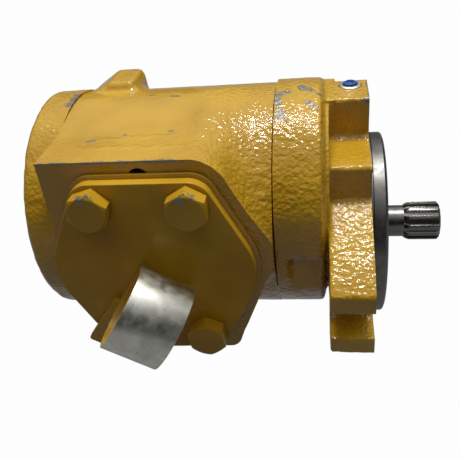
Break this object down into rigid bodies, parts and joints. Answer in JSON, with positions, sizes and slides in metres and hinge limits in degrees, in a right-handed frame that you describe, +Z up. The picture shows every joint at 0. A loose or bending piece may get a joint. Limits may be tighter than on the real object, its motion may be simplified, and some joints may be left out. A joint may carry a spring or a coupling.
{
  "type": "axial piston pump",
  "caption": "Variable axial piston pump: flanged cast casings, splined shaft, rotating barrel of slippered pistons and a tilting swashplate.",
  "frame": {"origin": "the centre of the drive shaft's end face; the flange's mounting face is the plane X = -0.0403 m", "axes": "+X along the shaft, out of the casing towards the drive; +Z up towards the drain port; the control pad and its cover plate face -Y"},
  "size_m": [0.2138, 0.1973, 0.1415],
  "materials": {
    "yellow_enamel": "thick glossy yellow enamel over rough cast iron, chipped at the joints",
    "machined_steel": "turned steel, lightly oxidised",
    "ground_steel": "ground and polished hardened steel",
    "bronze": "machined bronze",
    "zinc_plate": "yellowed zinc plate on bent strip",
    "iron": "ground cast iron",
    "seal_rubber": "moulded black rubber",
    "gasket": "pressed gasket, painted over with the cover",
    "blue_plastic": "moulded blue transit plug",
    "spring_steel": "oil-blackened spring wire"
  },
  "bodies": {
    "housing": {"main_casing": "yellow_enamel", "front_housing": "yellow_enamel", "end_cover": "yellow_enamel", "cover_gasket": "gasket", "cover_plate": "yellow_enamel", "cover_bolt_1": "yellow_enamel", "cover_bolt_2": "yellow_enamel", "cover_bolt_3": "yellow_enamel", "cover_bolt_4": "yellow_enamel", "strap_clamp": "zinc_plate", "drain_seat": "zinc_plate", "drain_plug": "blue_plastic", "tie_bolt_1": "machined_steel", "tie_bolt_2": "machined_steel", "tie_bolt_3": "machined_steel", "tie_bolt_4": "machined_steel", "front_seal_ring": "seal_rubber", "rear_seal_ring": "seal_rubber", "front_bearing_cup": "ground_steel", "shaft_seal": "seal_rubber", "seal_snap_ring": "spring_steel", "rear_bush": "bronze", "valve_plate": "bronze", "valve_plate_dowel": "ground_steel", "cradle_bearing_near": "bronze", "cradle_bearing_far": "bronze", "control_sleeve": "machined_steel", "bias_spring": "spring_steel"},
    "rotating_group": {"shaft": "machined_steel", "front_bearing_cone": "ground_steel", "cylinder_barrel": "machined_steel", "barrel_spring": "spring_steel", "ball_guide": "machined_steel"},
    "roller_cage": {"front_bearing_rollers": "machined_steel"},
    "swash": {"swashplate": "iron"},
    "retainer": {"retainer_plate": "machined_steel"},
    "slipper_body_1": {"slipper_1": "bronze"},
    "slipper_body_2": {"slipper_2": "bronze"},
    "slipper_body_3": {"slipper_3": "bronze"},
    "slipper_body_4": {"slipper_4": "bronze"},
    "slipper_body_5": {"slipper_5": "bronze"},
    "slipper_body_6": {"slipper_6": "bronze"},
    "slipper_body_7": {"slipper_7": "bronze"},
    "slipper_body_8": {"slipper_8": "bronze"},
    "slipper_body_9": {"slipper_9": "bronze"},
    "piston_body_1": {"piston_1": "ground_steel"},
    "piston_body_2": {"piston_2": "ground_steel"},
    "piston_body_3": {"piston_3": "ground_steel"},
    "piston_body_4": {"piston_4": "ground_steel"},
    "piston_body_5": {"piston_5": "ground_steel"},
    "piston_body_6": {"piston_6": "ground_steel"},
    "piston_body_7": {"piston_7": "ground_steel"},
    "piston_body_8": {"piston_8": "ground_steel"},
    "piston_body_9": {"piston_9": "ground_steel"},
    "stroke_piston": {"control_piston": "ground_steel"},
    "return_piston": {"bias_piston": "ground_steel"}
  },
  "joints": [
    {"name": "shaft_spin", "type": "hinge", "parent": "housing", "child": "rotating_group", "pos_m": [-0.0403, 0, 0], "axis": [1, 0, 0], "continuous": true},
    {"name": "cage_spin", "type": "hinge", "parent": "housing", "child": "roller_cage", "pos_m": [-0.0528, 0, 0], "axis": [1, 0, 0], "continuous": true},
    {"name": "swash_tilt", "type": "hinge", "parent": "housing", "child": "swash", "pos_m": [-0.0943, 0, 0], "axis": [0, -1, 0], "range_deg": [0, 15]},
    {"name": "retainer_spin", "type": "hinge", "parent": "swash", "child": "retainer", "pos_m": [-0.0943, 0, 0], "axis": [1, 0, 0], "continuous": true},
    {"name": "slipper_1_spin", "type": "hinge", "parent": "retainer", "child": "slipper_body_1", "pos_m": [-0.0943, 0, 0.0208], "axis": [1, 0, 0], "continuous": true},
    {"name": "piston_1_swivel", "type": "hinge", "parent": "slipper_body_1", "child": "piston_body_1", "pos_m": [-0.0943, 0, 0.0208], "axis": [0, -1, 0], "range_deg": [-15, 0]},
    {"name": "slipper_2_spin", "type": "hinge", "parent": "retainer", "child": "slipper_body_2", "pos_m": [-0.0943, -0.01337, 0.01593], "axis": [1, 0, 0], "continuous": true},
    {"name": "piston_2_swivel", "type": "hinge", "parent": "slipper_body_2", "child": "piston_body_2", "pos_m": [-0.0943, -0.01337, 0.01593], "axis": [0, -1, 0], "range_deg": [-15, 0]},
    {"name": "slipper_3_spin", "type": "hinge", "parent": "retainer", "child": "slipper_body_3", "pos_m": [-0.0943, -0.02048, 0.00361], "axis": [1, 0, 0], "continuous": true},
    {"name": "piston_3_swivel", "type": "hinge", "parent": "slipper_body_3", "child": "piston_body_3", "pos_m": [-0.0943, -0.02048, 0.00361], "axis": [0, -1, 0], "range_deg": [-15, 0]},
    {"name": "slipper_4_spin", "type": "hinge", "parent": "retainer", "child": "slipper_body_4", "pos_m": [-0.0943, -0.01801, -0.0104], "axis": [1, 0, 0], "continuous": true},
    {"name": "piston_4_swivel", "type": "hinge", "parent": "slipper_body_4", "child": "piston_body_4", "pos_m": [-0.0943, -0.01801, -0.0104], "axis": [0, -1, 0], "range_deg": [-15, 0]},
    {"name": "slipper_5_spin", "type": "hinge", "parent": "retainer", "child": "slipper_body_5", "pos_m": [-0.0943, -0.00711, -0.01955], "axis": [1, 0, 0], "continuous": true},
    {"name": "piston_5_swivel", "type": "hinge", "parent": "slipper_body_5", "child": "piston_body_5", "pos_m": [-0.0943, -0.00711, -0.01955], "axis": [0, -1, 0], "range_deg": [-15, 0]},
    {"name": "slipper_6_spin", "type": "hinge", "parent": "retainer", "child": "slipper_body_6", "pos_m": [-0.0943, 0.00711, -0.01955], "axis": [1, 0, 0], "continuous": true},
    {"name": "piston_6_swivel", "type": "hinge", "parent": "slipper_body_6", "child": "piston_body_6", "pos_m": [-0.0943, 0.00711, -0.01955], "axis": [0, -1, 0], "range_deg": [-15, 0]},
    {"name": "slipper_7_spin", "type": "hinge", "parent": "retainer", "child": "slipper_body_7", "pos_m": [-0.0943, 0.01801, -0.0104], "axis": [1, 0, 0], "continuous": true},
    {"name": "piston_7_swivel", "type": "hinge", "parent": "slipper_body_7", "child": "piston_body_7", "pos_m": [-0.0943, 0.01801, -0.0104], "axis": [0, -1, 0], "range_deg": [-15, 0]},
    {"name": "slipper_8_spin", "type": "hinge", "parent": "retainer", "child": "slipper_body_8", "pos_m": [-0.0943, 0.02048, 0.00361], "axis": [1, 0, 0], "continuous": true},
    {"name": "piston_8_swivel", "type": "hinge", "parent": "slipper_body_8", "child": "piston_body_8", "pos_m": [-0.0943, 0.02048, 0.00361], "axis": [0, -1, 0], "range_deg": [-15, 0]},
    {"name": "slipper_9_spin", "type": "hinge", "parent": "retainer", "child": "slipper_body_9", "pos_m": [-0.0943, 0.01337, 0.01593], "axis": [1, 0, 0], "continuous": true},
    {"name": "piston_9_swivel", "type": "hinge", "parent": "slipper_body_9", "child": "piston_body_9", "pos_m": [-0.0943, 0.01337, 0.01593], "axis": [0, -1, 0], "range_deg": [-15, 0]},
    {"name": "stroke_slide", "type": "slide", "parent": "housing", "child": "stroke_piston", "axis": [1, 0, 0], "range_m": [-0.0135, 0]},
    {"name": "return_slide", "type": "slide", "parent": "housing", "child": "return_piston", "axis": [1, 0, 0], "range_m": [-0.0135, 0], "deforming": ["bias_spring"]}
  ],
  "couplings": [
    {"joint": "cage_spin", "follows": "shaft_spin", "ratio": 0.426},
    {"joint": "retainer_spin", "follows": "shaft_spin", "ratio": 1},
    {"joint": "slipper_1_spin", "follows": "shaft_spin", "ratio": -1},
    {"joint": "slipper_2_spin", "follows": "shaft_spin", "ratio": -1},
    {"joint": "slipper_3_spin", "follows": "shaft_spin", "ratio": -1},
    {"joint": "slipper_4_spin", "follows": "shaft_spin", "ratio": -1},
    {"joint": "slipper_5_spin", "follows": "shaft_spin", "ratio": -1},
    {"joint": "slipper_6_spin", "follows": "shaft_spin", "ratio": -1},
    {"joint": "slipper_7_spin", "follows": "shaft_spin", "ratio": -1},
    {"joint": "slipper_8_spin", "follows": "shaft_spin", "ratio": -1},
    {"joint": "slipper_9_spin", "follows": "shaft_spin", "ratio": -1},
    {"joint": "piston_1_swivel", "follows": "swash_tilt", "ratio": -1},
    {"joint": "piston_2_swivel", "follows": "swash_tilt", "ratio": -1},
    {"joint": "piston_3_swivel", "follows": "swash_tilt", "ratio": -1},
    {"joint": "piston_4_swivel", "follows": "swash_tilt", "ratio": -1},
    {"joint": "piston_5_swivel", "follows": "swash_tilt", "ratio": -1},
    {"joint": "piston_6_swivel", "follows": "swash_tilt", "ratio": -1},
    {"joint": "piston_7_swivel", "follows": "swash_tilt", "ratio": -1},
    {"joint": "piston_8_swivel", "follows": "swash_tilt", "ratio": -1},
    {"joint": "piston_9_swivel", "follows": "swash_tilt", "ratio": -1},
    {"joint": "stroke_slide", "follows": "swash_tilt", "m_per_rad": -0.05},
    {"joint": "return_slide", "follows": "swash_tilt", "m_per_rad": -0.05}
  ]
}
